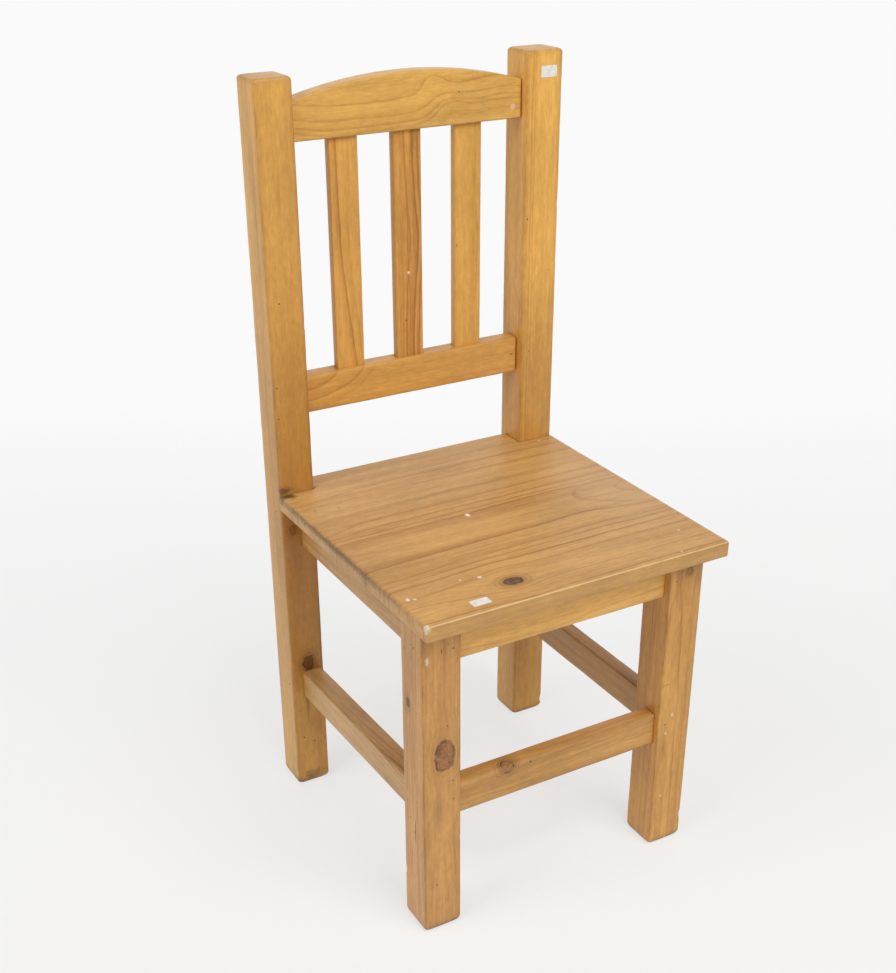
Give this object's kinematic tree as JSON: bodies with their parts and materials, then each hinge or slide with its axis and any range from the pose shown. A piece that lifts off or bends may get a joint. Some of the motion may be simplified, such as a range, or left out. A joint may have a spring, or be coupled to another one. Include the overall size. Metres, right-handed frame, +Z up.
{
  "type": "wooden side chair",
  "caption": "Worn varnished pine side chair with square legs, a flat board seat, low stretchers and a slatted back under an arched top rail.",
  "frame": {"origin": "under the middle of the chair's footprint, on the floor", "axes": "+Z up, the chair faces -Y, and +X is to the right for someone looking at its front"},
  "size_m": [0.3978, 0.419, 0.9255],
  "materials": {
    "frame_pine": "worn satin varnish",
    "seat_pine": "worn, dull varnish, scratched and chipped",
    "back_pine": "satin varnish",
    "raw_pine": "unfinished",
    "plug_wood": "bare wood plug",
    "steel": "dull",
    "paper": "blank white paper, unprinted"
  },
  "bodies": {
    "root": {"front_left_leg": "frame_pine", "front_right_leg": "frame_pine", "rear_left_post": "frame_pine", "rear_right_post": "frame_pine", "seat_board": "seat_pine", "front_apron": "frame_pine", "rear_apron": "frame_pine", "left_apron": "frame_pine", "right_apron": "frame_pine", "front_stretcher": "frame_pine", "left_stretcher": "frame_pine", "right_stretcher": "frame_pine", "top_rail": "back_pine", "lower_back_rail": "back_pine", "left_slat": "back_pine", "middle_slat": "back_pine", "right_slat": "back_pine", "corner_block_front_left": "raw_pine", "corner_block_front_right": "raw_pine", "corner_block_rear_left": "raw_pine", "corner_block_rear_right": "raw_pine", "block_screws": "steel", "seat_screws": "steel", "apron_brads": "steel", "stretcher_brads": "steel", "top_rail_plug": "plug_wood", "top_rail_screw": "steel", "lower_rail_nail": "steel", "post_sticker": "paper", "seat_sticker": "paper"}
  },
  "joints": []
}
